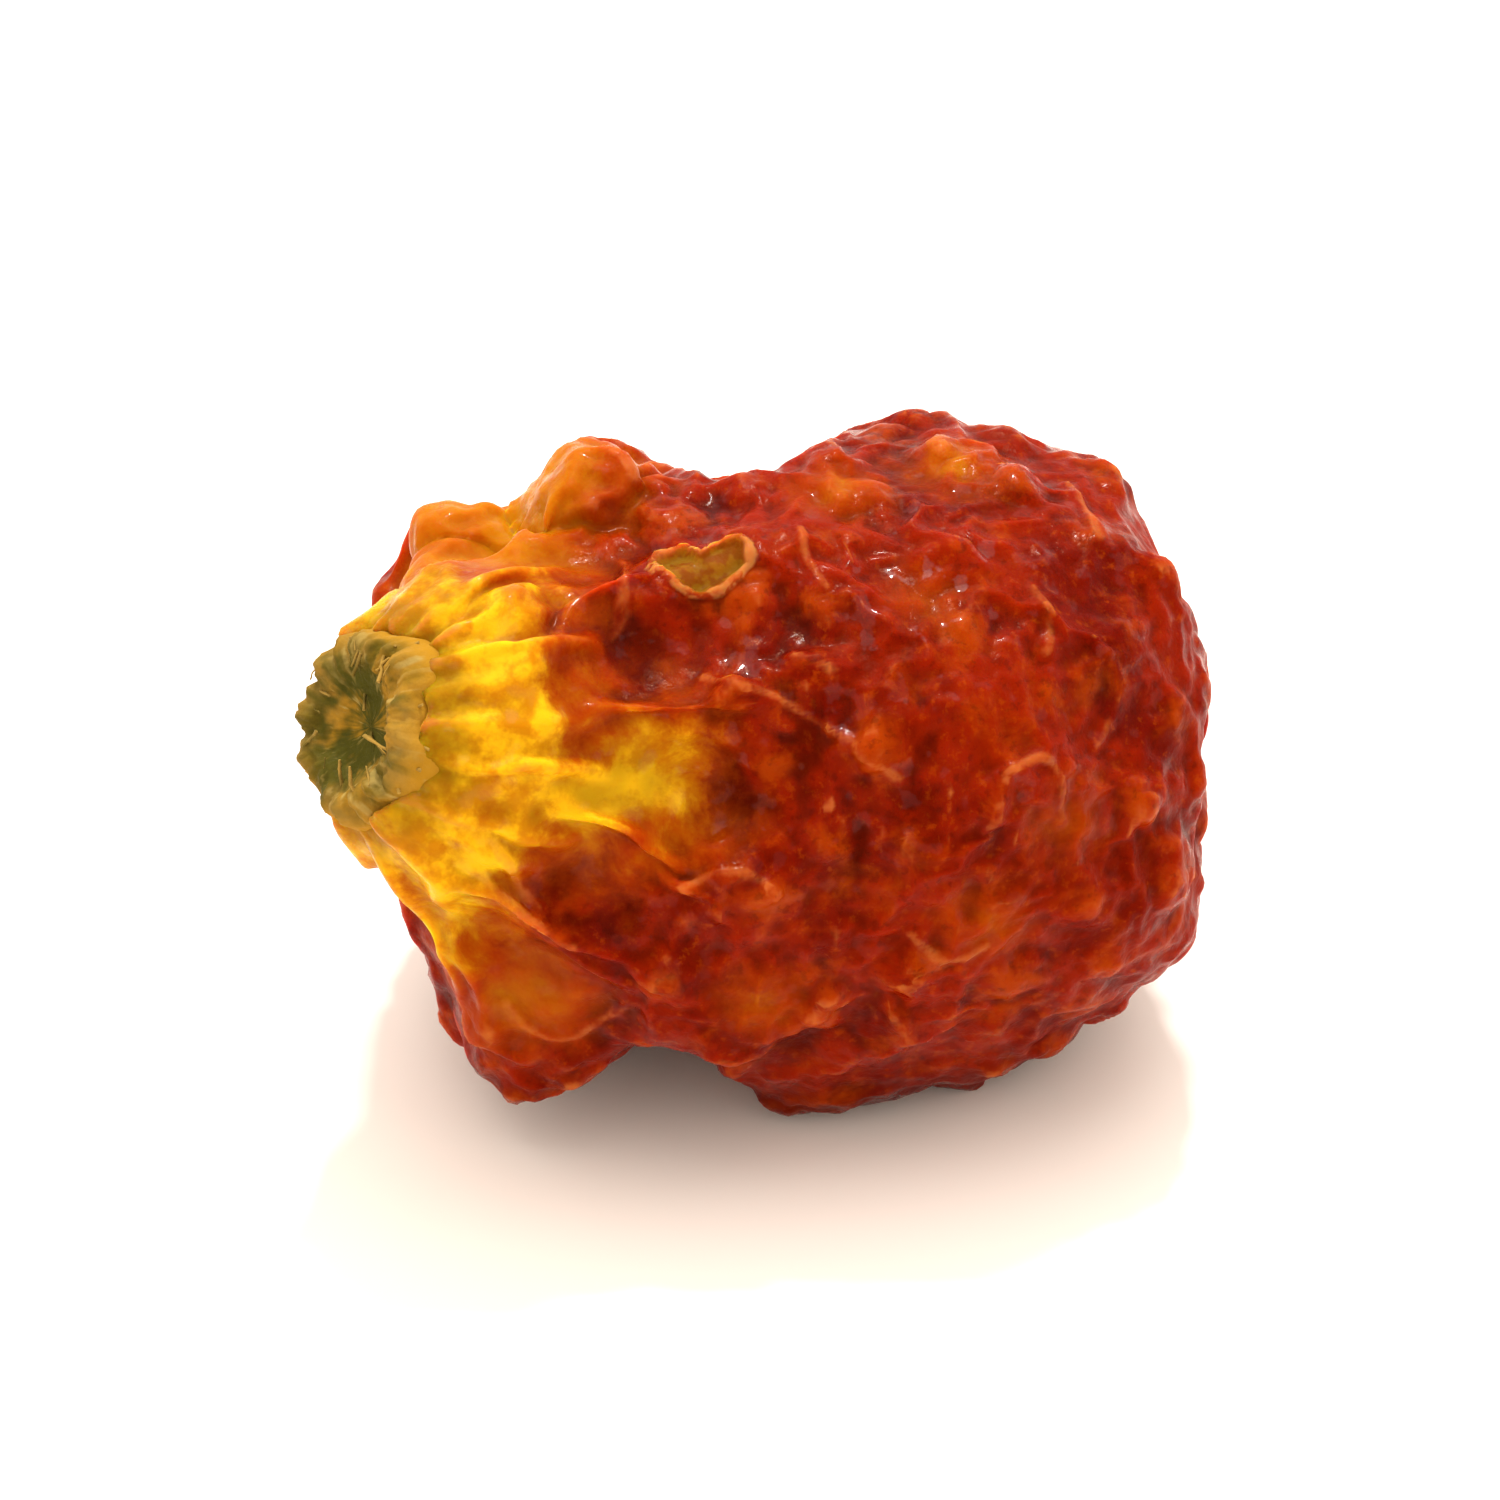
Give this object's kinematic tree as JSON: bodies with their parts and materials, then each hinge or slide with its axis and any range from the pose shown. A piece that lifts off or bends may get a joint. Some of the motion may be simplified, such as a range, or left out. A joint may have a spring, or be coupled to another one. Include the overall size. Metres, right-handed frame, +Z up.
{
  "type": "dried goldenberry",
  "caption": "Whole dried goldenberry lying on its side: a wrinkled, folded fruit with ribs round its stalk end and the stub of the stalk in a shallow socket.",
  "frame": {"origin": "on the resting surface, under the middle of the whole berry's box", "axes": "+X from the stalk end to the far end, -Y the near side, +Z up from the resting surface"},
  "size_m": [0.0172, 0.0126, 0.0117],
  "materials": {
    "fruit_skin": "sticky, softly glossy, half translucent dried fruit skin, deep orange red with a yellow shoulder",
    "stalk_wood": "dry, rough, fibrous olive grey stalk end"
  },
  "bodies": {
    "root": {"dried_fruit": "fruit_skin", "stalk_stub": "stalk_wood"}
  },
  "joints": []
}
